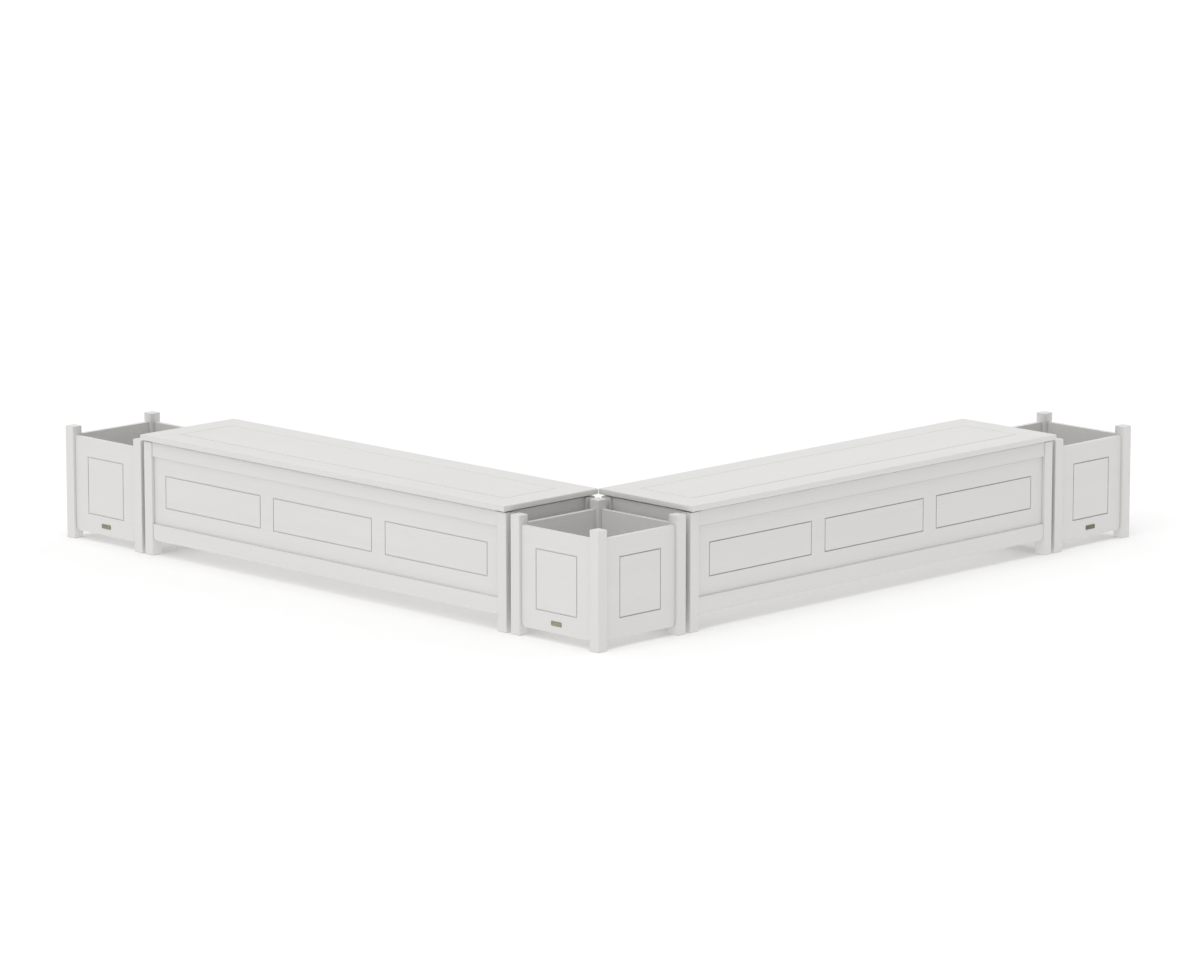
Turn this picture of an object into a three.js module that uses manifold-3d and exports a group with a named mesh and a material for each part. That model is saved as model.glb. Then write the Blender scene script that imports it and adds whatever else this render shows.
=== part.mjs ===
// Corner seating set in painted wood: two chest benches at right angles and three square planters.
// Millimetres, +Z up. The origin is on the floor, in the middle of the set's footprint.
// The outer corner of the L points to -X and -Y. The right bench runs along X, the left bench along Y.

import * as THREE from "three";
import { mergeVertices } from "three/addons/utils/BufferGeometryUtils.js";
import Module from "manifold-3d";

const wasm = await Module();
wasm.setup();

// Timbers and boards that planters and benches share
const postSide = 45.5;
const postEdgeRadius = 3;
const postEndEase = 2;
const boardThickness = 18;
const panelRecess = 11.5;
const lowerCornerRadius = 20;
const lineWidth = 4;
const lineDepth = 3;
const baseThickness = 12;
const housingDepth = 5;
const jointGap = 0.3;

// Planters
const planterSide = 450;
const planterStepDown = 27.5;
const planterPanelDrop = 35.5;
const planterPanelLift = 34.5;
const planterLineMargin = 75.5;
const planterBaseLift = 60;
const drainHoleDiameter = 18;
const drainHoleShare = 0.5;

// Benches
const benchLength = 2005.5;
const benchInnerStep = 7.5;
const farUnitGap = 18;
const lidTop = 471.5;
const lidThickness = 22;
const lidOuterOverhang = 13.5;
const lidInnerOverhang = 11;
const lidEndOverhang = 4;
const lidCornerClearance = 0.5;
const lidEdgeEase = 4;
const lidLineMargin = 110;
const railRecess = 4;
const boardRecess = 13;
const topRailHeight = 55;
const bottomRailHeight = 62.5;
const bottomRailLift = 61;
const benchLineMargin = 66.5;
const benchLineHeadroom = 70;
const benchLineSpacing = 74.5;
const benchLineCount = 3;
const benchBaseLift = 80;

// Lid hinge and seal
const knuckleDiameter = 5;
const knuckleCount = 12;
const knuckleGap = 0.6;
const hingePinDiameter = 2;
const hingePinClearance = 0.3;
const hingeLeafThickness = 1.2;
const hingeLeafWidth = 20;
const hingeStandOff = 1;
const hingeEndClearance = 6;
const sealWidth = 9;

// A bench is as deep as a planter and a small step more on its inner side
const benchDepth = planterSide + benchInnerStep;

// A planter's rim lies a step lower than the seats beside it
const planterHeight = lidTop - planterStepDown;

// Benches stand this far from the corner planter, so that the two lids clear each other at the inner corner
const cornerUnitGap = benchInnerStep + lidInnerOverhang + lidEndOverhang + lidCornerClearance;

// Sizes that follow
const lidUnderside = lidTop - lidThickness;
const legHeight = lidUnderside - knuckleDiameter - 2 * jointGap;
const railThickness = boardRecess + boardThickness - railRecess;
const wingLength = planterSide + cornerUnitGap + benchLength + farUnitGap + planterSide;
const footprintMiddle = (wingLength - lidOuterOverhang) / 2;

// Smoothness of curves
const arcStep = 3.5;
const edgeSteps = 2;
const knuckleSides = 8;
const drainHoleSides = 12;

// A cutter runs past the face that it cuts by this much
const overrun = 1;

const paint = () => new THREE.MeshStandardMaterial({ color: 0xdddcd9, roughness: 0.55, metalness: 0 });
const zincSteel = () => new THREE.MeshStandardMaterial({ color: 0xa9adb0, roughness: 0.35, metalness: 1 });
const blackRubber = () => new THREE.MeshStandardMaterial({ color: 0x2b2b2c, roughness: 0.85, metalness: 0 });

// Solids and cuts

function toSolid(geometry) {
  const bare = geometry.clone();
  bare.deleteAttribute("normal");
  bare.deleteAttribute("uv");
  const merged = mergeVertices(bare);
  const mesh = new wasm.Mesh({
    numProp: 3,
    vertProperties: new Float32Array(merged.attributes.position.array),
    triVerts: new Uint32Array(merged.index.array),
  });
  return new wasm.Manifold(mesh);
}

function toGeometry(solid) {
  const mesh = solid.getMesh();
  const geometry = new THREE.BufferGeometry();
  geometry.setAttribute("position", new THREE.BufferAttribute(new Float32Array(mesh.vertProperties), 3));
  geometry.setIndex(new THREE.BufferAttribute(new Uint32Array(mesh.triVerts), 1));
  geometry.computeVertexNormals();
  return geometry;
}

function cut(geometry, cutters) {
  const solid = cutters.reduce((rest, cutter) => rest.subtract(toSolid(cutter)), toSolid(geometry));
  return toGeometry(solid);
}

function join(geometries) {
  const solid = geometries.map(toSolid).reduce((whole, piece) => whole.add(piece));
  return toGeometry(solid);
}

function box(low, high) {
  const size = high.map((value, axis) => value - low[axis]);
  const middle = high.map((value, axis) => (value + low[axis]) / 2);
  return new THREE.BoxGeometry(...size).translate(...middle);
}

function rod(diameter, length, sides) {
  return new THREE.CylinderGeometry(diameter / 2, diameter / 2, length, sides);
}

// Outlines

// A rectangle round the origin whose four corners, from the lower left one on, have their own radii
function roundedOutline(width, height, radii) {
  const corners = [[-1, -1], [1, -1], [1, 1], [-1, 1]];
  const points = corners.flatMap(([side, level], index) => {
    const radius = radii[index];
    const steps = Math.ceil((radius * Math.PI) / 2 / arcStep);
    const centreX = side * (width / 2 - radius);
    const centreY = level * (height / 2 - radius);
    return Array.from({ length: steps + 1 }, (_, step) => {
      const turn = Math.PI + (index + step / Math.max(steps, 1)) * (Math.PI / 2);
      return new THREE.Vector2(centreX + radius * Math.cos(turn), centreY + radius * Math.sin(turn));
    });
  });
  return new THREE.Shape(points);
}

// A rectangle whose corners are notched out for the posts that stand there
function notchedOutline(width, depth, notchWidth, notchDepth) {
  const [x, y] = [width / 2, depth / 2];
  const [innerX, innerY] = [x - notchWidth, y - notchDepth];
  const quarter = [[x, innerY], [innerX, innerY], [innerX, y]];
  const turned = [
    ...quarter,
    ...quarter.map(([a, b]) => [-a, b]).reverse(),
    ...quarter.map(([a, b]) => [-a, -b]),
    ...quarter.map(([a, b]) => [a, -b]).reverse(),
  ];
  return new THREE.Shape(turned.map(([a, b]) => new THREE.Vector2(a, b)));
}

// The closed line that a router follows, as the ring between two rectangles
function lineOutline(width, height) {
  const ring = roundedOutline(width + lineWidth, height + lineWidth, [0, 0, 0, 0]);
  ring.holes.push(roundedOutline(width - lineWidth, height - lineWidth, [0, 0, 0, 0]));
  return ring;
}

function extrude(shape, depth, ease = 0) {
  return new THREE.ExtrudeGeometry(shape, {
    depth: depth - 2 * ease,
    bevelEnabled: ease > 0,
    bevelThickness: ease,
    bevelSize: ease,
    bevelOffset: -ease,
    bevelSegments: edgeSteps,
  }).translate(0, 0, ease);
}

// Stands a flat shape up: its outer face lies in Y = 0 and looks to -Y, its thickness runs to +Y
function stand(shape, thickness) {
  return extrude(shape, thickness).rotateX(Math.PI / 2).translate(0, thickness, 0);
}

// Pieces

// Square timber with rounded edges, standing on the floor
function post(height) {
  const section = roundedOutline(postSide, postSide, Array(4).fill(postEdgeRadius));
  return extrude(section, height, postEndEase);
}

// Cutter for a routed line round the point (x, z) of a standing board whose outer face is at y
function standingLine(width, height, x, y, z) {
  const cutter = stand(lineOutline(width, height), lineDepth + overrun);
  return cutter.translate(x, y - overrun, z);
}

// Cutter for the groove in the back of a standing board that holds the edge of a base board
function housing(width, back, baseLift) {
  return box(
    [-width / 2 - overrun, back - housingDepth, baseLift - jointGap],
    [width / 2 + overrun, back + overrun, baseLift + baseThickness + jointGap],
  );
}

// Cutters for the routed rectangles of a bench side, evenly spaced along it
function benchLines(width, low, high, face) {
  const spaces = (benchLineCount - 1) * benchLineSpacing;
  const lineLength = (width - 2 * benchLineMargin - spaces) / benchLineCount;
  const lineHeight = high - low - 2 * benchLineHeadroom;
  return Array.from({ length: benchLineCount }, (_, index) => {
    const middle = (index - (benchLineCount - 1) / 2) * (lineLength + benchLineSpacing);
    return standingLine(lineLength, lineHeight, middle, face, (low + high) / 2);
  });
}

function planterPanel() {
  const width = planterSide - 2 * postSide - 2 * jointGap;
  const height = planterHeight - planterPanelDrop - planterPanelLift;
  const middle = planterPanelLift + height / 2;
  const outline = roundedOutline(width, height, [lowerCornerRadius, lowerCornerRadius, 0, 0]);
  const board = stand(outline, boardThickness).translate(0, 0, middle);
  const lineLength = planterSide - 2 * postSide - 2 * planterLineMargin;
  const lineHeight = height - 2 * planterLineMargin;
  return cut(board, [
    standingLine(lineLength, lineHeight, 0, 0, middle),
    housing(width, boardThickness, planterBaseLift),
  ]);
}

function planterBase() {
  const side = planterSide - 2 * (panelRecess + boardThickness - housingDepth + jointGap);
  const notch = (side - planterSide) / 2 + postSide + jointGap;
  const board = extrude(notchedOutline(side, side, notch, notch), baseThickness);
  const spread = (drainHoleShare * side) / 2;
  const places = [[-spread, -spread], [spread, -spread], [spread, spread], [-spread, spread]];
  const holes = places.map(([x, y]) => {
    const drill = rod(drainHoleDiameter, baseThickness + 2 * overrun, drainHoleSides);
    return drill.rotateX(Math.PI / 2).translate(x, y, baseThickness / 2);
  });
  return cut(board, holes).translate(0, 0, planterBaseLift);
}

function benchTopRail() {
  const width = benchLength - 2 * postSide - 2 * jointGap;
  return box([-width / 2, 0, legHeight - topRailHeight], [width / 2, railThickness, legHeight]);
}

function benchBoard() {
  const width = benchLength - 2 * postSide - 2 * jointGap;
  const low = bottomRailLift + bottomRailHeight;
  const high = legHeight - topRailHeight;
  const board = box([-width / 2, 0, low + jointGap], [width / 2, boardThickness, high - jointGap]);
  return cut(board, benchLines(width, low, high, 0));
}

function benchBottomRail() {
  const width = benchLength - 2 * postSide - 2 * jointGap;
  const outline = roundedOutline(width, bottomRailHeight, [lowerCornerRadius, lowerCornerRadius, 0, 0]);
  const rail = stand(outline, railThickness).translate(0, 0, bottomRailLift + bottomRailHeight / 2);
  return cut(rail, [housing(width, railThickness, benchBaseLift)]);
}

// Rails and board of the inner side, glued up as one, with the board's face set back between the rails
function benchInnerSide() {
  const width = benchLength - 2 * postSide - 2 * jointGap;
  const height = legHeight - bottomRailLift;
  const outline = roundedOutline(width, height, [lowerCornerRadius, lowerCornerRadius, 0, 0]);
  const whole = stand(outline, railThickness).translate(0, 0, bottomRailLift + height / 2);
  const low = bottomRailLift + bottomRailHeight;
  const high = legHeight - topRailHeight;
  const face = boardRecess - railRecess;
  const field = box([-width / 2 - overrun, -overrun, low], [width / 2 + overrun, face, high]);
  return cut(whole, [field, ...benchLines(width, low, high, face), housing(width, railThickness, benchBaseLift)]);
}

function benchEnd() {
  const width = benchDepth - 2 * postSide - 2 * jointGap;
  const height = legHeight - bottomRailLift;
  const outline = roundedOutline(width, height, [lowerCornerRadius, lowerCornerRadius, 0, 0]);
  const board = stand(outline, boardThickness).translate(0, 0, bottomRailLift + height / 2);
  return cut(board, [housing(width, boardThickness, benchBaseLift)]);
}

function benchBase() {
  const length = benchLength - 2 * (panelRecess + boardThickness - housingDepth + jointGap);
  const depth = benchDepth - 2 * (boardRecess + boardThickness - housingDepth + jointGap);
  const notchLength = (length - benchLength) / 2 + postSide + jointGap;
  const notchDepth = (depth - benchDepth) / 2 + postSide + jointGap;
  const outline = notchedOutline(length, depth, notchLength, notchDepth);
  return extrude(outline, baseThickness).translate(0, 0, benchBaseLift);
}

function benchLid() {
  const length = benchLength + 2 * lidEndOverhang;
  const depth = benchDepth + lidOuterOverhang + lidInnerOverhang;
  const board = extrude(roundedOutline(length, depth, [0, 0, 0, 0]), lidThickness, lidEdgeEase);
  const line = extrude(lineOutline(length - 2 * lidLineMargin, depth - 2 * lidLineMargin), lineDepth + overrun);
  const lid = cut(board, [line.translate(0, 0, lidThickness - lineDepth)]);
  return lid.translate(0, (lidInnerOverhang - lidOuterOverhang) / 2, lidUnderside);
}

// One leaf of the long hinge round the X axis. Its plate lies under the pin and runs to +Y.
// It owns every second knuckle, from the first or the second on.
function hingeLeaf(firstKnuckle) {
  const length = benchLength - 2 * postSide - 2 * hingeEndClearance;
  const pitch = length / knuckleCount;
  const radius = knuckleDiameter / 2;
  const plateStart = radius + knuckleGap;
  const plate = box(
    [-length / 2, plateStart, -radius],
    [length / 2, hingeLeafWidth, hingeLeafThickness - radius],
  );
  const owned = Array.from({ length: knuckleCount }, (_, index) => index)
    .filter((index) => index % 2 === firstKnuckle);
  const knuckles = owned.flatMap((index) => {
    const middle = (index + 1 / 2) * pitch - length / 2;
    const [low, high] = [middle - (pitch - knuckleGap) / 2, middle + (pitch - knuckleGap) / 2];
    const barrel = rod(knuckleDiameter, high - low, knuckleSides).rotateZ(Math.PI / 2).translate(middle, 0, 0);
    const bend = box([low, 0, -radius], [high, plateStart + overrun, hingeLeafThickness - radius]);
    return [barrel, bend];
  });
  const boreDiameter = hingePinDiameter + 2 * hingePinClearance;
  const bore = rod(boreDiameter, length + 2 * overrun, knuckleSides).rotateZ(Math.PI / 2);
  return cut(join([plate, ...knuckles]), [bore]);
}

function hingePin() {
  const length = benchLength - 2 * postSide - 2 * hingeEndClearance;
  return rod(hingePinDiameter, length, knuckleSides).rotateZ(Math.PI / 2);
}

function seal() {
  const length = benchLength - 2 * postSide - 2 * hingeEndClearance;
  const low = legHeight + jointGap;
  return box([-length / 2, -sealWidth / 2, low], [length / 2, sealWidth / 2, lidUnderside - jointGap]);
}

// Units of the set

function node(name, geometry, material) {
  const mesh = new THREE.Mesh(geometry, material);
  mesh.name = name;
  return mesh;
}

function planter(name) {
  const unit = new THREE.Group();
  const middle = (planterSide - postSide) / 2;
  const posts = { front: [-1, -1], left: [-1, 1], right: [1, -1], back: [1, 1] };
  for (const [place, [x, y]] of Object.entries(posts)) {
    const standing = node(`${name}_post_${place}`, post(planterHeight), paint());
    standing.position.set(x * middle, y * middle, 0);
    unit.add(standing);
  }
  // The panels, each turned so that its outer face looks away from the planter
  const panels = { right_front: 0, right_back: 1, left_back: 2, left_front: 3 };
  for (const [place, quarters] of Object.entries(panels)) {
    const side = new THREE.Group();
    const panel = node(`${name}_panel_${place}`, planterPanel(), paint());
    panel.position.set(0, panelRecess - planterSide / 2, 0);
    side.rotation.z = quarters * (Math.PI / 2);
    side.add(panel);
    unit.add(side);
  }
  unit.add(node(`${name}_base`, planterBase(), paint()));
  return unit;
}

// A bench along X whose outer side looks to -Y. farSide says whether its far end is at +X or at -X.
function bench(name, farSide) {
  const unit = new THREE.Group();
  const legX = (benchLength - postSide) / 2;
  const legY = (benchDepth - postSide) / 2;
  for (const [side, y] of [["outer", -1], ["inner", 1]]) {
    for (const [end, x] of [["near", -farSide], ["far", farSide]]) {
      const leg = node(`${name}_leg_${side}_${end}`, post(legHeight), paint());
      leg.position.set(x * legX, y * legY, 0);
      unit.add(leg);
    }
  }

  const outerFace = -benchDepth / 2;
  const topRail = node(`${name}_outer_top_rail`, benchTopRail(), paint());
  topRail.position.y = outerFace + railRecess;
  const board = node(`${name}_outer_board`, benchBoard(), paint());
  board.position.y = outerFace + boardRecess;
  const bottomRail = node(`${name}_outer_bottom_rail`, benchBottomRail(), paint());
  bottomRail.position.y = outerFace + railRecess;
  const innerSide = node(`${name}_inner_side`, benchInnerSide(), paint());
  innerSide.rotation.z = Math.PI;
  innerSide.position.y = benchDepth / 2 - railRecess;
  unit.add(topRail, board, bottomRail, innerSide);

  for (const [end, side] of [["near", -farSide], ["far", farSide]]) {
    const endBoard = node(`${name}_end_${end}`, benchEnd(), paint());
    endBoard.rotation.z = side * (Math.PI / 2);
    endBoard.position.x = side * (benchLength / 2 - panelRecess);
    unit.add(endBoard);
  }

  const hingeY = outerFace - hingeStandOff;
  const hingeZ = legHeight + jointGap + knuckleDiameter / 2;
  const railLeaf = node(`${name}_hinge_rail_leaf`, hingeLeaf(0), zincSteel());
  railLeaf.position.set(0, hingeY, hingeZ);
  const pin = node(`${name}_hinge_pin`, hingePin(), zincSteel());
  pin.position.set(0, hingeY, hingeZ);
  // Turned over, a leaf's first knuckle becomes its last one
  const lidLeaf = node(`${name}_hinge_lid_leaf`, hingeLeaf(knuckleCount % 2), zincSteel());
  lidLeaf.rotation.y = Math.PI;
  lidLeaf.position.set(0, hingeY, hingeZ);
  unit.add(railLeaf, pin, lidLeaf);

  const rubber = node(`${name}_seal`, seal(), blackRubber());
  rubber.position.y = benchDepth / 2 - railRecess - railThickness / 2;
  unit.add(node(`${name}_base`, benchBase(), paint()), node(`${name}_lid`, benchLid(), paint()), rubber);
  return unit;
}

// The set: distances along each wing are counted from the outer corner

const firstPlanter = planterSide / 2;
const benchMiddle = planterSide + cornerUnitGap + benchLength / 2;
const lastPlanter = wingLength - planterSide / 2;

const seatingSet = new THREE.Group();
seatingSet.position.set(-footprintMiddle, -footprintMiddle, 0);

const planterPlaces = {
  corner: [firstPlanter, firstPlanter],
  left: [firstPlanter, lastPlanter],
  right: [lastPlanter, firstPlanter],
};
for (const [place, [x, y]] of Object.entries(planterPlaces)) {
  const unit = planter(`${place}_planter`);
  unit.position.set(x, y, 0);
  seatingSet.add(unit);
}

const rightBench = bench("right_bench", 1);
rightBench.position.set(benchMiddle, benchDepth / 2, 0);
const leftBench = bench("left_bench", -1);
leftBench.rotation.z = -Math.PI / 2;
leftBench.position.set(benchDepth / 2, benchMiddle, 0);
seatingSet.add(rightBench, leftBench);

export default seatingSet;
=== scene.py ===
"""Corner seating set in cream paint: two chest benches and three square planters."""

import math

import bmesh
import bpy
from mathutils import Matrix, Vector


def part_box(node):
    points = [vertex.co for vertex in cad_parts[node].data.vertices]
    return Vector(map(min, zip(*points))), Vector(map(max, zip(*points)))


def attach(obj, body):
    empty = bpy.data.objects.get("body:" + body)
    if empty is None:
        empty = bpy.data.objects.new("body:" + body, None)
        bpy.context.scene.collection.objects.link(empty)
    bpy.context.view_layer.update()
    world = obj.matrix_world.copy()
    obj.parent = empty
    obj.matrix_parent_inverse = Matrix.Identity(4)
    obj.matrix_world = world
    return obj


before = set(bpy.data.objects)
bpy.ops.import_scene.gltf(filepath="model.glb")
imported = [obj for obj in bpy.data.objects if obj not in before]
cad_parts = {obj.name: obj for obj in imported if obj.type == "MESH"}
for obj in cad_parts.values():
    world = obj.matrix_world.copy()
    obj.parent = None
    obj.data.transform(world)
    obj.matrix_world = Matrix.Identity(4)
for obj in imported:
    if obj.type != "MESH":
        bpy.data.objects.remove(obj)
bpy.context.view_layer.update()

MM = 0.001

# Camera of the photograph: its place is measured from the set's outer corner on the ground, in metres
PICTURE_WIDTH = 1200
FOCAL_LENGTH = 5903.8
CAMERA_REACH = 14.5745
CAMERA_HEIGHT = 4.6339
CAMERA_PITCH = 10.990
CAMERA_HEADING = 45
SIDE_STEP = 1.707
SENSOR_WIDTH = 36
NEAREST_SEEN = 0.5
FARTHEST_SEEN = 300

# Bare plates and their pins
PLATE_WIDTH = 53 * MM
PLATE_HEIGHT = 17 * MM
PLATE_THICKNESS = 1.2 * MM
PLATE_CORNER = 2 * MM
LEAST_CORNER = 0.4 * MM
CORNER_STEPS = 4
PLATE_RIM = 1.6 * MM
PLATE_EASE = 0.25 * MM
PLATE_EASE_BEND = 0.3 * PLATE_EASE
PLATE_FIELD_DEPTH = 0.35 * MM
PLATE_LEVEL = 70 * MM
PLATE_GAP = 0.05 * MM
PIN_RADIUS = 1.5 * MM
PIN_HEIGHT = 0.7 * MM
PIN_INSET = 5 * MM

# Screws of the hinge leaves, and the low dome that screws and pins share
LEAF_THICKNESS = 1.2 * MM
SCREW_RADIUS = 2.6 * MM
SCREW_HEIGHT = 0.55 * MM
SCREW_LIFT = 0.02 * MM
SCREW_INSET = 6.5 * MM
SCREWS_PER_LEAF = 11
HEAD_SIDES = 20
DOME_SHARES = [(1, 0), (1, 0.3), (0.93, 0.62), (0.72, 0.87), (0.4, 0.98), (0.12, 1)]

# Bead of paint on the ledge of a bench's bottom rail
BEAD_LEG = 1.5 * MM
BEAD_KEY = 0.03 * MM
BEAD_STEPS = 4

# The curve from a colour as it is seen to the light that it gives back
SEEN_LEVELS = 255
STRAIGHT_UP_TO = 0.04045
STRAIGHT_SLOPE = 12.92
CURVE_OFFSET = 0.055
CURVE_POWER = 2.4


def linear(red, green, blue):
    """A colour as it is seen, 0 to 255 a channel, as the shader wants it."""
    channels = []
    for value in (red, green, blue):
        seen = value / SEEN_LEVELS
        curved = ((seen + CURVE_OFFSET) / (1 + CURVE_OFFSET)) ** CURVE_POWER
        channels.append(seen / STRAIGHT_SLOPE if seen <= STRAIGHT_UP_TO else curved)
    return (*channels, 1)


# Node trees

def put(tree, kind, inputs=None, **settings):
    """Adds a node, sets it up and feeds its inputs with values or with other nodes' outputs."""
    node = tree.nodes.new(kind)
    for name, value in settings.items():
        setattr(node, name, value)
    for name, value in (inputs or {}).items():
        if isinstance(value, bpy.types.NodeSocket):
            tree.links.new(value, node.inputs[name])
        else:
            node.inputs[name].default_value = value
    return node


def arithmetic(tree, operation, *values, clamp=False):
    inputs = dict(enumerate(values))
    return put(tree, "ShaderNodeMath", inputs, operation=operation, use_clamp=clamp).outputs[0]


def blended(tree, share, first, second):
    """A colour that goes from the first to the second as the share goes from 0 to 1."""
    inputs = {0: share, 6: first, 7: second}
    return put(tree, "ShaderNodeMix", inputs, data_type="RGBA").outputs[2]


def blended_value(tree, share, first, second):
    """A value that goes from the first to the second as the share goes from 0 to 1."""
    inputs = {0: share, 2: first, 3: second}
    return put(tree, "ShaderNodeMix", inputs, data_type="FLOAT").outputs[0]


def laid_over(tree, colour, mask, strength, coat):
    """The colour with a coat of another on it where the mask is, as thick as the strength says."""
    return blended(tree, arithmetic(tree, "MULTIPLY", mask, strength), colour, coat)


def ranged(tree, value, given, wanted=(0, 1)):
    """The value with its given range carried to the wanted one, and held at the ends."""
    limits = {"From Min": given[0], "From Max": given[1], "To Min": wanted[0], "To Max": wanted[1]}
    return put(tree, "ShaderNodeMapRange", {"Value": value, **limits}).outputs[0]


def stretched_noise(tree, place, waves, detail=2, roughness=0.5):
    """Noise with its own number of waves to the metre on each axis."""
    scaled = put(tree, "ShaderNodeVectorMath", {0: place, 1: waves}, operation="MULTIPLY").outputs[0]
    inputs = {"Vector": scaled, "Scale": 1.0, "Detail": detail, "Roughness": roughness}
    return put(tree, "ShaderNodeTexNoise", inputs).outputs[0]


def mottle(tree, place, waves, detail=4, roughness=0.6):
    """Noise that is alike on all axes."""
    return stretched_noise(tree, place, (waves, waves, waves), detail, roughness)


def own_place(tree):
    """The place on a piece in metres, in the piece's own frame."""
    return put(tree, "ShaderNodeTexCoord").outputs["Object"]


def parts_of(tree, vector):
    return put(tree, "ShaderNodeSeparateXYZ", {0: vector}).outputs


def effect(name, inputs, outputs):
    """An empty node group with its named sockets, its entry node and its exit node."""
    kinds = {"float": "NodeSocketFloat", "vector": "NodeSocketVector"}
    group = bpy.data.node_groups.new(name, "ShaderNodeTree")
    for socket, kind in inputs.items():
        group.interface.new_socket(name=socket, in_out="INPUT", socket_type=kinds[kind])
    for socket, kind in outputs.items():
        group.interface.new_socket(name=socket, in_out="OUTPUT", socket_type=kinds[kind])
    entry = group.nodes.new("NodeGroupInput")
    leaving = group.nodes.new("NodeGroupOutput")
    return group, entry.outputs, leaving


def handed_out(group, leaving, **results):
    """The group with its results linked to its exit."""
    for name, value in results.items():
        group.links.new(value, leaving.inputs[name])
    return group


# Effects that the finishes share

# Grain: waves to the metre along and across the timber, radians to the metre for the rings, and
# how much each pattern counts
GRAIN_WANDER = (1.1, 7, 7)
RING_TURNS = 620
RING_WANDER = 22
RING_SLANT = 0.8
FIBRE_WAVES = (9, 420, 420)
FIBRE_SHARE = 0.45
TONE_WAVES = (1.6, 16, 16)
TONE_SHARE = 0.7


def timber_grain():
    """Softwood grain that shows through paint. Along is a place in metres, its X along the timber."""
    patterns = {"Relief": "float", "Tone": "float"}
    group, entry, leaving = effect("timber_grain", {"Along": "vector"}, patterns)
    along = entry["Along"]
    wander = stretched_noise(group, along, GRAIN_WANDER)
    parts = parts_of(group, along)
    across = arithmetic(group, "MULTIPLY_ADD", parts[2], RING_SLANT, parts[1])
    drift = arithmetic(group, "MULTIPLY", wander, RING_WANDER)
    rings = arithmetic(group, "SINE", arithmetic(group, "MULTIPLY_ADD", across, RING_TURNS, drift))
    ring_lines = ranged(group, rings, (-1, 1))
    fibres = stretched_noise(group, along, FIBRE_WAVES, detail=3, roughness=0.6)
    relief = blended_value(group, FIBRE_SHARE, ring_lines, fibres)
    patches = stretched_noise(group, along, TONE_WAVES, detail=3, roughness=0.55)
    tone = blended_value(group, TONE_SHARE, relief, patches)
    return handed_out(group, leaving, Relief=relief, Tone=tone)


FURROW_WAVES = (0.012, 1, 1)


def brush_marks():
    """Fine furrows that a brush or a polishing belt leaves along a piece."""
    sockets = {"Along": "vector", "Fineness": "float"}
    group, entry, leaving = effect("brush_marks", sockets, {"Relief": "float"})
    place = {0: entry["Along"], "Scale": entry["Fineness"]}
    scaled = put(group, "ShaderNodeVectorMath", place, operation="SCALE").outputs[0]
    furrows = stretched_noise(group, scaled, FURROW_WAVES, detail=3, roughness=0.6)
    return handed_out(group, leaving, Relief=furrows)


# Wear: the dot product of the rounded normal and the face's own, from where wear begins to where
# it is full, and where the patches let it through
WEAR_RAYS = 4
WEAR_TURN = (0.995, 0.86)
WEAR_WAVES = 38
WEAR_GATE = (0.42, 0.62)


def worn_arrises():
    """A mask along the outer edges, broken up as wear is."""
    sockets = {"Width": "float", "Break up": "float"}
    group, entry, leaving = effect("worn_arrises", sockets, {"Mask": "float"})
    rounded = put(group, "ShaderNodeBevel", {"Radius": entry["Width"]}, samples=WEAR_RAYS).outputs[0]
    face = put(group, "ShaderNodeNewGeometry").outputs["Normal"]
    same = put(group, "ShaderNodeVectorMath", {0: rounded, 1: face}, operation="DOT_PRODUCT")
    turned = ranged(group, same.outputs["Value"], WEAR_TURN)
    patches = mottle(group, own_place(group), WEAR_WAVES, roughness=0.65)
    gate = ranged(group, patches, WEAR_GATE)
    broken = blended_value(group, entry["Break up"], 1.0, gate)
    return handed_out(group, leaving, Mask=arithmetic(group, "MULTIPLY", turned, broken, clamp=True))


# Dust and painted shade: how open a place is where it counts as closed in, and where it counts as deep
DUST_RAYS = 6
CLOSED_IN = (0.5, 0.24)
DEEP = (0.85, 0.55)
DUST_WAVES = 24
DUST_PATCHES = (0.3, 0.7)
DUST_LEAST = 0.75


def settled_dust_and_shade():
    """A mask in grooves and inner corners, for dust that settles there and for painted shade, and a
    wider one of all deep places.
    """
    masks = {"Mask": "float", "Depth": "float"}
    group, entry, leaving = effect("settled_dust_and_shade", {"Reach": "float"}, masks)
    nearness = put(group, "ShaderNodeAmbientOcclusion", {"Distance": entry["Reach"]}, samples=DUST_RAYS)
    openness = nearness.outputs["AO"]
    closed = ranged(group, openness, CLOSED_IN)
    patches = mottle(group, own_place(group), DUST_WAVES, detail=3, roughness=0.5)
    uneven = ranged(group, patches, DUST_PATCHES, (DUST_LEAST, 1))
    mask = arithmetic(group, "MULTIPLY", closed, uneven, clamp=True)
    return handed_out(group, leaving, Mask=mask, Depth=ranged(group, openness, DEEP))


LEVEL_RAYS = 8
LEVEL_TILT = (0.02, 0.3)


def level_edges():
    """A mask on and beside the level edges of an upright face, for painted shade there."""
    group, entry, leaving = effect("level_edges", {"Reach": "float"}, {"Mask": "float"})
    rounded = put(group, "ShaderNodeBevel", {"Radius": entry["Reach"]}, samples=LEVEL_RAYS).outputs[0]
    tilt = arithmetic(group, "ABSOLUTE", parts_of(group, rounded)[2])
    return handed_out(group, leaving, Mask=ranged(group, tilt, LEVEL_TILT))


GRAIN = timber_grain()
BRUSH = brush_marks()
WEAR = worn_arrises()
DUST_AND_SHADE = settled_dust_and_shade()
LEVEL = level_edges()


def use(tree, group, **inputs):
    """The outputs of an effect that is placed with its own values."""
    named = {name.replace("_", " ").capitalize(): value for name, value in inputs.items()}
    return put(tree, "ShaderNodeGroup", node_tree=group, inputs=named).outputs


# Finishes

LENGTH_TO_X = {"x": (0, 0, 0), "y": (0, 0, math.radians(-90)), "z": (0, math.radians(90), 0)}

# Where most of a noise's values lie
MOST = (0.3, 0.7)
NEARLY_ALL = (0.2, 0.8)


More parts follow.
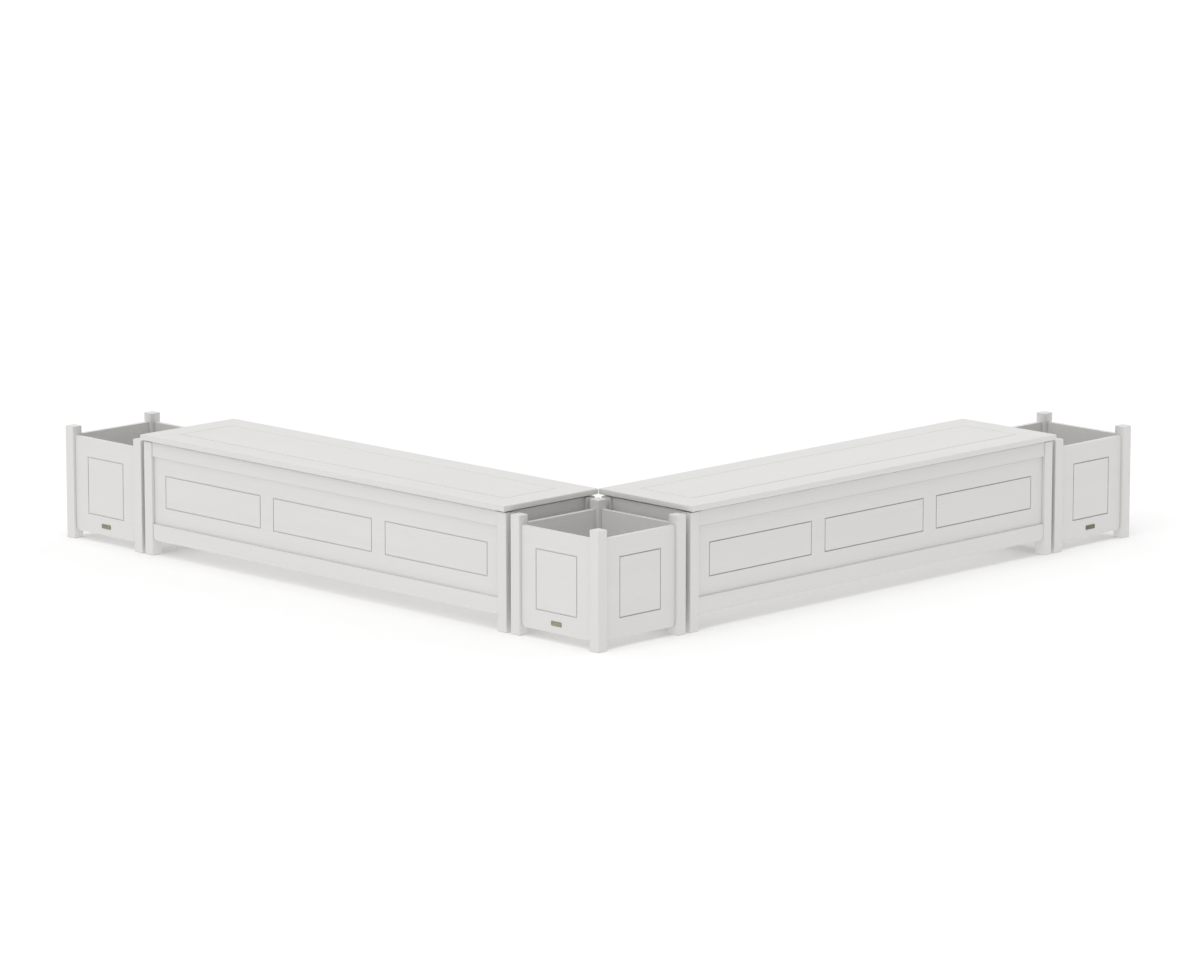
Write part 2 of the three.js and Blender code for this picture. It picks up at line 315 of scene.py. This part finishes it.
def new_material(name):
    material = bpy.data.materials.new(name)
    material.use_nodes = True
    return material, material.node_tree, material.node_tree.nodes["Principled BSDF"]


def lengthwise(tree, turn):
    """The place on a piece in metres, turned so that its length lies on X."""
    inputs = {"Vector": own_place(tree), "Rotation": LENGTH_TO_X[turn]}
    return put(tree, "ShaderNodeMapping", inputs).outputs[0]


def dress(tree, surface, colour, rough, relief, strength, depth):
    """Feeds a finish's colour, roughness and fine relief to its surface."""
    bump = put(tree, "ShaderNodeBump", {"Height": relief, "Strength": strength, "Distance": depth})
    fed = {"Base Color": colour, "Roughness": rough, "Normal": bump.outputs[0]}
    for socket, value in fed.items():
        tree.links.new(value, surface.inputs[socket])


PAINT = linear(218, 217, 215)
PAINT_THIN = linear(215, 214, 212)
PAINT_WORN = linear(205, 201, 194)
PAINT_WEAR = 0.35
PAINT_WEAR_WIDTH = 1.2 * MM
PAINT_BRUSH = 900
PAINT_BRUSH_SHARE = 0.35
PAINT_GLOSS = (0.4, 0.5)
PAINT_SPECULAR = 0.4
PAINT_RELIEF = 0.03 * MM
# Colour of dust and painted shade in grooves and corners, and of the painted shade on level edges and
# the painted shadow below the top rail
GROOVE_DUST_AND_SHADE = linear(112, 109, 103)
GROOVE_REACH = 5 * MM
DUST_ROUGHNESS = 0.3
LEVEL_REACH = 3.5 * MM
TOP_RAIL_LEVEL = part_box("right_bench_outer_top_rail")[0].z
RAIL_SHADOW_REACH = 6 * MM


def cream_paint(turn, dust_and_shade_share=0.9, level_edge_shade=0, rail_shadow=0, note=""):
    """Satin cream paint on planed softwood, its grain along the given axis.

    Painted shade can darken its level grooves and edges, and a painted shadow the band of board just
    below the top rail."""
    material, tree, surface = new_material(f"cream_paint_grain_{turn}{note}")
    along = lengthwise(tree, turn)
    grain = use(tree, GRAIN, along=along)
    brush = use(tree, BRUSH, along=along, fineness=PAINT_BRUSH)
    wear = use(tree, WEAR, width=PAINT_WEAR_WIDTH, break_up=0.8)
    dust_and_shade = use(tree, DUST_AND_SHADE, reach=GROOVE_REACH)

    colour = blended(tree, ranged(tree, grain["Tone"], MOST), PAINT, PAINT_THIN)
    colour = laid_over(tree, colour, wear["Mask"], PAINT_WEAR, PAINT_WORN)
    # Dust and painted shade darken the grooves and inner corners
    colour = laid_over(tree, colour, dust_and_shade["Mask"], dust_and_shade_share, GROOVE_DUST_AND_SHADE)
    # Painted shade on level edges and in level grooves
    if level_edge_shade:
        level = use(tree, LEVEL, reach=LEVEL_REACH)
        level_shade_mask = arithmetic(tree, "MULTIPLY", level["Mask"], dust_and_shade["Depth"])
        colour = laid_over(tree, colour, level_shade_mask, level_edge_shade, GROOVE_DUST_AND_SHADE)
    # Painted shadow on the band of board just below the top rail
    if rail_shadow:
        height = parts_of(tree, own_place(tree))[2]
        below_rail_shadow = ranged(tree, height, (TOP_RAIL_LEVEL - RAIL_SHADOW_REACH, TOP_RAIL_LEVEL), (0, rail_shadow))
        colour = blended(tree, below_rail_shadow, colour, GROOVE_DUST_AND_SHADE)

    gloss = ranged(tree, grain["Relief"], NEARLY_ALL, PAINT_GLOSS)
    rough = arithmetic(tree, "MULTIPLY_ADD", dust_and_shade["Mask"], DUST_ROUGHNESS, gloss, clamp=True)
    relief = arithmetic(tree, "MULTIPLY_ADD", brush["Relief"], PAINT_BRUSH_SHARE, grain["Relief"])
    dress(tree, surface, colour, rough, relief, strength=0.5, depth=PAINT_RELIEF)
    surface.inputs["Specular IOR Level"].default_value = PAINT_SPECULAR
    return material


ZINC = linear(200, 199, 196)
ZINC_DULL = linear(180, 179, 176)
ZINC_RUBBED = linear(214, 213, 210)
ZINC_BRUSH = 2600
ZINC_WAVES = 60
ZINC_CLOUDS = (0.35, 0.65)
ZINC_ROUGHNESS = (0.28, 0.42)
ZINC_WEAR_WIDTH = 0.3 * MM
RUBBED_SHARE = 0.6
METAL_RELIEF = 0.03 * MM


def zinc_steel():
    """Zinc-plated hinge steel, drawn along its length, a little dull."""
    material, tree, surface = new_material("zinc_plated_steel")
    place = own_place(tree)
    brush = use(tree, BRUSH, along=place, fineness=ZINC_BRUSH)
    wear = use(tree, WEAR, width=ZINC_WEAR_WIDTH, break_up=0.5)
    clouds = ranged(tree, mottle(tree, place, ZINC_WAVES), ZINC_CLOUDS)
    colour = blended(tree, clouds, ZINC, ZINC_DULL)
    colour = laid_over(tree, colour, wear["Mask"], RUBBED_SHARE, ZINC_RUBBED)
    rough = ranged(tree, brush["Relief"], NEARLY_ALL, ZINC_ROUGHNESS)
    dress(tree, surface, colour, rough, brush["Relief"], strength=0.4, depth=METAL_RELIEF)
    surface.inputs["Metallic"].default_value = 1
    return material


BRASS = linear(173, 168, 147)
BRASS_DULL = linear(150, 146, 128)
BRASS_OLD = linear(80, 78, 62)
BRASS_TARNISH = linear(112, 109, 92)
BRASS_DUST = linear(104, 98, 82)
BRASS_RUBBED = linear(190, 182, 152)
BRASS_BRUSH = 3200
BRASS_WAVES = 170
BRASS_CLOUDS = (0.35, 0.68)
BRASS_ROUGHNESS = (0.36, 0.52)
TARNISH_WIDTH = 3.5 * MM
TARNISH_SHARE = 0.85
BRASS_WEAR_WIDTH = 0.4 * MM
BRASS_DUST_REACH = 2.5 * MM
BRASS_DUST_SHARE = 0.6
BRASS_RUBBED_SHARE = 0.35
RUBBED_LOST_WITH_AGE = 0.3


def aged_brass(unit, age):
    """Dull brass of a bare plate, tarnished along the rim, rubbed on its edges, darker with age."""
    material, tree, surface = new_material(f"{unit}_aged_brass")
    place = own_place(tree)
    brush = use(tree, BRUSH, along=place, fineness=BRASS_BRUSH)
    tarnish = use(tree, WEAR, width=TARNISH_WIDTH, break_up=0.15)
    wear = use(tree, WEAR, width=BRASS_WEAR_WIDTH, break_up=0.4)
    dust_and_shade = use(tree, DUST_AND_SHADE, reach=BRASS_DUST_REACH)
    cloud = mottle(tree, place, BRASS_WAVES)
    rubbed = BRASS_RUBBED_SHARE - RUBBED_LOST_WITH_AGE * age
    colour = blended(tree, ranged(tree, cloud, BRASS_CLOUDS), BRASS, BRASS_DULL)
    colour = blended(tree, age, colour, BRASS_OLD)
    colour = laid_over(tree, colour, tarnish["Mask"], TARNISH_SHARE - age, BRASS_TARNISH)
    colour = laid_over(tree, colour, dust_and_shade["Mask"], BRASS_DUST_SHARE, BRASS_DUST)
    colour = laid_over(tree, colour, wear["Mask"], rubbed, BRASS_RUBBED)
    rough = ranged(tree, cloud, MOST, BRASS_ROUGHNESS)
    dress(tree, surface, colour, rough, brush["Relief"], strength=0.4, depth=METAL_RELIEF)
    surface.inputs["Metallic"].default_value = 1
    return material


SEAL = linear(48, 48, 49)
SEAL_GREYED = linear(62, 61, 60)
SEAL_DUST = linear(104, 101, 96)
SEAL_WAVES = 45
SEAL_ROUGHNESS = (0.72, 0.86)
SEAL_DUST_REACH = 4 * MM
SEAL_DUST_SHARE = 0.4
PORE_WAVES = 1500
PORE_DEPTH = 0.05 * MM


def black_rubber():
    """Matt rubber of the seals, greyed and dusty in patches."""
    material, tree, surface = new_material("seal_rubber")
    place = own_place(tree)
    dust_and_shade = use(tree, DUST_AND_SHADE, reach=SEAL_DUST_REACH)
    cloud = mottle(tree, place, SEAL_WAVES)
    colour = blended(tree, ranged(tree, cloud, MOST), SEAL, SEAL_GREYED)
    colour = laid_over(tree, colour, dust_and_shade["Mask"], SEAL_DUST_SHARE, SEAL_DUST)
    rough = ranged(tree, cloud, MOST, SEAL_ROUGHNESS)
    pores = mottle(tree, place, PORE_WAVES, detail=2, roughness=0.5)
    dress(tree, surface, colour, rough, pores, strength=0.4, depth=PORE_DEPTH)
    return material


# Strength of the painted shade on level edges
LEVEL_EDGE_SHADE = 0.68
# Strength of the painted shadow below the top rail
RAIL_SHADOW_STRENGTH = 0.5
# The lids get less dust and painted shade in their grooves
LID_DUST_AND_SHADE = 0.35

# How far each plate has gone from bright to old brass
PLATE_AGES = {"corner_planter": 0.08, "left_planter": 0.26, "right_planter": 0.6}

PAINT_FOR = {turn: cream_paint(turn) for turn in "xyz"}
LEVEL_SHADED_PAINT = cream_paint("x", level_edge_shade=LEVEL_EDGE_SHADE, note="_level_edges_shaded")
RAIL_SHADOWED_PAINT = cream_paint("x", level_edge_shade=LEVEL_EDGE_SHADE, rail_shadow=RAIL_SHADOW_STRENGTH, note="_shadowed_below_rail")
LID_PAINT_FOR = {turn: cream_paint(turn, LID_DUST_AND_SHADE, note="_less_groove_shade") for turn in "xy"}
STEEL = zinc_steel()
BRASS_FOR = {unit: aged_brass(unit, age) for unit, age in PLATE_AGES.items()}
RUBBER = black_rubber()


# Carried-over nodes: eased edges and finishes

WELD = 0.02 * MM
SHARP_FROM = math.radians(50)
EASE_STEPS = 2
HINGE_ARRIS = 0.12 * MM
PAINT_ARRIS = 0.6 * MM
OTHER_ARRISES = {"_seal": 0.8 * MM, "_outer_board": 0.2 * MM, "_lid": 1 * MM}


def joined_faces():
    """Geometry nodes that join a carried-over node's faces, so that it can be eased and shaded."""
    tree = bpy.data.node_groups.new("joined_faces", "GeometryNodeTree")
    for way in ("INPUT", "OUTPUT"):
        tree.interface.new_socket(name="Geometry", in_out=way, socket_type="NodeSocketGeometry")
    entry = tree.nodes.new("NodeGroupInput")
    leaving = tree.nodes.new("NodeGroupOutput")
    welding = {"Geometry": entry.outputs[0], "Distance": WELD}
    whole = put(tree, "GeometryNodeMergeByDistance", welding).outputs[0]
    for attribute in ("custom_normal", "sharp_edge"):
        dropped = {"Geometry": whole, "Name": attribute}
        whole = put(tree, "GeometryNodeRemoveAttribute", dropped).outputs[0]
    smooth = put(tree, "GeometryNodeSetShadeSmooth", {"Geometry": whole, "Shade Smooth": True})
    tree.links.new(smooth.outputs[0], leaving.inputs[0])
    return tree


JOINED = joined_faces()


def ease_edges(piece, width):
    piece.modifiers.new("joined", "NODES").node_group = JOINED
    bevel = piece.modifiers.new("eased", "BEVEL")
    bevel.width = width
    bevel.segments = EASE_STEPS
    bevel.limit_method = "ANGLE"
    bevel.angle_limit = SHARP_FROM
    bevel.use_clamp_overlap = True
    shading = piece.modifiers.new("shading", "WEIGHTED_NORMAL")
    shading.mode = "FACE_AREA"
    shading.keep_sharp = False


def grain_direction(name):
    """The axis along which a timber's grain runs, from its name."""
    if "_post_" in name or "_leg_" in name:
        return "z"
    if "planter" in name:
        return "y" if name.endswith(("left_front", "right_back")) else "x"
    along_wing, across_wing = ("x", "y") if name.startswith("right") else ("y", "x")
    return across_wing if "_end_" in name else along_wing


def finish_of(name):
    """A carried-over piece's finish."""
    if "_hinge_" in name:
        return STEEL
    if name.endswith("_seal"):
        return RUBBER
    # The right wing's front panels and board carry painted shade on their level edges, the board also a
    # painted shadow below its top rail
    if name.endswith("panel_right_front"):
        return LEVEL_SHADED_PAINT
    if name == "right_bench_outer_board":
        return RAIL_SHADOWED_PAINT
    paints = LID_PAINT_FOR if name.endswith("_lid") else PAINT_FOR
    return paints[grain_direction(name)]


def arris_of(name):
    """How far a carried-over piece's sharp edges are eased."""
    if "_hinge_" in name:
        return HINGE_ARRIS
    widths = [width for ending, width in OTHER_ARRISES.items() if name.endswith(ending)]
    return widths[0] if widths else PAINT_ARRIS


for name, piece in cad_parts.items():
    piece.material_slots[0].material = finish_of(name)
    ease_edges(piece, arris_of(name))


# Small fittings

def new_piece(name, bm, material, body):
    """A piece of the scene's own that rides on a body of the frame."""
    data = bpy.data.meshes.new(name)
    bmesh.ops.recalc_face_normals(bm, faces=bm.faces[:])
    bm.to_mesh(data)
    bm.free()
    for polygon in data.polygons:
        polygon.use_smooth = True
    piece = bpy.data.objects.new(name, data)
    bpy.context.scene.collection.objects.link(piece)
    data.materials.append(material)
    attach(piece, body)
    return piece


def rounded_rectangle(width, height, radius):
    points = []
    for quarter, (side, level) in enumerate([(1, 1), (-1, 1), (-1, -1), (1, -1)]):
        for step in range(CORNER_STEPS + 1):
            turn = (quarter + step / CORNER_STEPS) * math.pi / 2
            x = side * (width / 2 - radius) + radius * math.cos(turn)
            y = level * (height / 2 - radius) + radius * math.sin(turn)
            points.append((x, y))
    return points


def lofted(rings):
    """A closed solid through rings of points that all have the same count."""
    bm = bmesh.new()
    rows = [[bm.verts.new(point) for point in ring] for ring in rings]
    count = len(rows[0])
    for lower, upper in zip(rows, rows[1:]):
        for index in range(count):
            following = (index + 1) % count
            bm.faces.new((lower[index], lower[following], upper[following], upper[index]))
    bm.faces.new(list(reversed(rows[0])))
    bm.faces.new(rows[-1])
    return bm


def plate_ring(inset, level):
    """The plate's outline, drawn in by an inset, at a level above its back."""
    radius = max(PLATE_CORNER - inset, LEAST_CORNER)
    outline = rounded_rectangle(PLATE_WIDTH - 2 * inset, PLATE_HEIGHT - 2 * inset, radius)
    return [(x, y, level) for x, y in outline]


def plate_mesh():
    """A thin plate with a raised rim round a sunk bare field, its back at z = 0."""
    return lofted([
        plate_ring(0, 0),
        plate_ring(0, PLATE_THICKNESS - PLATE_EASE),
        plate_ring(PLATE_EASE_BEND, PLATE_THICKNESS - PLATE_EASE_BEND),
        plate_ring(PLATE_EASE, PLATE_THICKNESS),
        plate_ring(PLATE_RIM - PLATE_EASE, PLATE_THICKNESS),
        plate_ring(PLATE_RIM, PLATE_THICKNESS - PLATE_EASE_BEND),
        plate_ring(PLATE_RIM + PLATE_EASE_BEND, PLATE_THICKNESS - PLATE_FIELD_DEPTH),
    ])


def domed_head(radius, height):
    """A low domed head standing on z = 0."""
    turns = [2 * math.pi * i / HEAD_SIDES for i in range(HEAD_SIDES)]
    rings = []
    for out, up in DOME_SHARES:
        reach = radius * out
        rings.append([(reach * math.cos(turn), reach * math.sin(turn), height * up) for turn in turns])
    return lofted(rings)


def merged_mesh(meshes_and_places):
    """One mesh of several, each moved to its place."""
    whole = bmesh.new()
    for mesh, place in meshes_and_places:
        mesh.transform(place)
        data = bpy.data.meshes.new("part")
        mesh.to_mesh(data)
        mesh.free()
        whole.from_mesh(data)
        bpy.data.meshes.remove(data)
    return whole


def facing(outward, upward, place):
    """Puts a piece that was made on the XY plane on a face: its Z looks outward, its Y upward."""
    z, y = Vector(outward), Vector(upward)
    x = y.cross(z)
    matrix = Matrix((x, y, z)).transposed().to_4x4()
    matrix.translation = place
    return matrix


def add_plate(name, panel, outward):
    """A bare plate pinned low on the middle of a planter's panel."""
    low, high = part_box(panel)
    middle = (low + high) / 2
    axis = 0 if outward[0] else 1
    face = low[axis] if sum(outward) < 0 else high[axis]
    place = Vector((middle.x, middle.y, PLATE_LEVEL))
    place[axis] = face + sum(outward) * PLATE_GAP
    stand = facing(outward, (0, 0, 1), place)
    brass = BRASS_FOR[name]
    placed = merged_mesh([(plate_mesh(), stand)])
    plate = new_piece(f"{name}_plate", placed, brass, "frame")
    plate.modifiers.new("shading", "WEIGHTED_NORMAL")
    pins = []
    for side in (-1, 1):
        hole = (side * (PLATE_WIDTH / 2 - PIN_INSET), 0, PLATE_THICKNESS - PLATE_FIELD_DEPTH)
        pins.append((domed_head(PIN_RADIUS, PIN_HEIGHT), stand @ Matrix.Translation(hole)))
    new_piece(f"{name}_plate_pins", merged_mesh(pins), brass, "frame")


add_plate("corner_planter", "corner_planter_panel_left_front", (-1, 0, 0))
add_plate("left_planter", "left_planter_panel_left_front", (-1, 0, 0))
add_plate("right_planter", "right_planter_panel_right_front", (0, -1, 0))


def axes_of(bench):
    """The axis that a bench lies along, and the one across it."""
    return (0, 1) if bench.startswith("right") else (1, 0)


def bead_section():
    """Paint in an inner corner with a hollow face: how far out and how far up each point lies."""
    quarter = [math.pi * (1 + step / BEAD_STEPS / 2) for step in range(BEAD_STEPS + 1)]
    hollow = [(BEAD_LEG * (1 + math.cos(turn)), BEAD_LEG * (1 + math.sin(turn))) for turn in quarter]
    return [(-BEAD_KEY, -BEAD_KEY), (-BEAD_KEY, BEAD_LEG), *hollow[1:-1], (BEAD_LEG, -BEAD_KEY)]


def add_paint_bead(bench):
    """The bead of paint in the joint between a bench's board and the ledge of its bottom rail."""
    board_low, board_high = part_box(f"{bench}_outer_board")
    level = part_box(f"{bench}_outer_bottom_rail")[1].z
    along, across = axes_of(bench)
    rings = []
    for end in (board_low[along], board_high[along]):
        ring = []
        for out, up in bead_section():
            point = Vector((0, 0, level + up))
            point[along] = end
            point[across] = board_low[across] - out
            ring.append(point)
        rings.append(ring)
    paint = PAINT_FOR["xy"[along]]
    bead = new_piece(f"{bench}_ledge_paint_bead", lofted(rings), paint, "frame")
    bead.modifiers.new("shading", "WEIGHTED_NORMAL")


def add_leaf_screws(bench, leaf, body, upward):
    """Screws along a hinge leaf, on its free face, which looks up (1) or down (-1)."""
    low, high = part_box(f"{bench}_hinge_{leaf}_leaf")
    along, across = axes_of(bench)
    reach = high[along] - low[along]
    face = low.z + LEAF_THICKNESS if upward > 0 else high.z - LEAF_THICKNESS
    heads = []
    for index in range(SCREWS_PER_LEAF):
        place = Vector((0, 0, face + upward * SCREW_LIFT))
        place[along] = low[along] + reach * (index + 0.5) / SCREWS_PER_LEAF
        place[across] = high[across] - SCREW_INSET
        stand = facing((0, 0, upward), (0, 1, 0), place)
        heads.append((domed_head(SCREW_RADIUS, SCREW_HEIGHT), stand))
    new_piece(f"{bench}_hinge_{leaf}_screws", merged_mesh(heads), STEEL, body)


for side in ("left", "right"):
    add_paint_bead(f"{side}_bench")

for side in ("left", "right"):
    add_leaf_screws(f"{side}_bench", "rail", "frame", 1)
    add_leaf_screws(f"{side}_bench", "lid", f"{side}_lid", -1)


# Camera, floor and light

WHITE = (1, 1, 1, 1)
FLOOR_BOUNCE = (0.3, 0.3, 0.3, 1)
FLOOR_GLOW = 0.85
FLOOR_SHOWN = (0.99, 0.99, 0.99, 1)
FLOOR_RADIUS = 90
FLOOR_SIDES = 64
ROOM_LIGHT = 0.635
SOFTBOX_SPREAD = 45
SOFTBOX_DISTANCE = 5

# Each lamp's level, compass direction and elevation
SOFTBOXES = {
    "softbox_overhead": (0.22, 225, 80),
    "softbox_left": (0.15, 180, 40),
    "softbox_behind_left": (0.06, 90, 40),
    "softbox_behind_right": (0.09, 0, 40),
}


def photo_camera():
    data = bpy.data.cameras.new("photo_camera")
    data.sensor_fit = "HORIZONTAL"
    data.sensor_width = SENSOR_WIDTH
    data.lens = data.sensor_width * FOCAL_LENGTH / PICTURE_WIDTH
    data.shift_x = SIDE_STEP / PICTURE_WIDTH
    data.clip_start = NEAREST_SEEN
    data.clip_end = FARTHEST_SEEN
    camera = bpy.data.objects.new("photo_camera", data)
    outer_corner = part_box("corner_planter_post_front")[0]
    camera.location = (outer_corner[0] - CAMERA_REACH, outer_corner[1] - CAMERA_REACH, CAMERA_HEIGHT)
    camera.rotation_euler = (math.radians(90 - CAMERA_PITCH), 0, -math.radians(CAMERA_HEADING))
    bpy.context.scene.collection.objects.link(camera)
    bpy.context.scene.camera = camera


def by_ray(tree, carried, shown):
    """The first shader on rays that carry light, the second on rays from the camera or a reflection."""
    path = put(tree, "ShaderNodeLightPath").outputs
    mirrored = arithmetic(tree, "MAXIMUM", path["Is Glossy Ray"], path["Is Transmission Ray"])
    seen = arithmetic(tree, "MAXIMUM", path["Is Camera Ray"], mirrored)
    return put(tree, "ShaderNodeMixShader", {0: seen, 1: carried, 2: shown}).outputs[0]


def studio_floor():
    """A pale light table that glows softly on what stands on it, and shows the shadows on itself."""
    material = bpy.data.materials.new("studio_floor")
    material.use_nodes = True
    tree = material.node_tree
    tree.nodes.clear()
    bounce = put(tree, "ShaderNodeBsdfDiffuse", {"Color": FLOOR_BOUNCE})
    glow = put(tree, "ShaderNodeEmission", {"Color": WHITE, "Strength": FLOOR_GLOW})
    lit = put(tree, "ShaderNodeAddShader", {0: bounce.outputs[0], 1: glow.outputs[0]})
    shown = put(tree, "ShaderNodeBsdfDiffuse", {"Color": FLOOR_SHOWN})
    put(tree, "ShaderNodeOutputMaterial", {"Surface": by_ray(tree, lit.outputs[0], shown.outputs[0])})
    bm = bmesh.new()
    bmesh.ops.create_circle(bm, cap_ends=True, segments=FLOOR_SIDES, radius=FLOOR_RADIUS)
    data = bpy.data.meshes.new("studio_floor")
    bm.to_mesh(data)
    bm.free()
    floor = bpy.data.objects.new("studio_floor", data)
    data.materials.append(material)
    bpy.context.scene.collection.objects.link(floor)


def studio_room():
    """A plain white room, dimmer to the object than to the eye."""
    world = bpy.data.worlds.new("studio_room")
    bpy.context.scene.world = world
    world.use_nodes = True
    tree = world.node_tree
    tree.nodes.clear()
    light = put(tree, "ShaderNodeBackground", {"Color": WHITE, "Strength": ROOM_LIGHT})
    white = put(tree, "ShaderNodeBackground", {"Color": WHITE, "Strength": 1.0})
    put(tree, "ShaderNodeOutputWorld", {"Surface": by_ray(tree, light.outputs[0], white.outputs[0])})


def softbox(name, level, compass, elevation):
    """A far soft lamp. At level 1 it lights a facing white surface to full white.

    Compass 0 is +X and 90 is +Y."""
    data = bpy.data.lights.new(name, "SUN")
    data.energy = level * math.pi
    data.angle = math.radians(SOFTBOX_SPREAD)
    lamp = bpy.data.objects.new(name, data)
    a, e = math.radians(compass), math.radians(elevation)
    towards = Vector((math.cos(a) * math.cos(e), math.sin(a) * math.cos(e), math.sin(e)))
    lamp.rotation_euler = towards.to_track_quat("Z", "Y").to_euler()
    lamp.location = towards * SOFTBOX_DISTANCE
    bpy.context.scene.collection.objects.link(lamp)


photo_camera()
studio_floor()
studio_room()
for name, (level, compass, elevation) in SOFTBOXES.items():
    softbox(name, level, compass, elevation)

bpy.context.scene.view_settings.view_transform = "Standard"
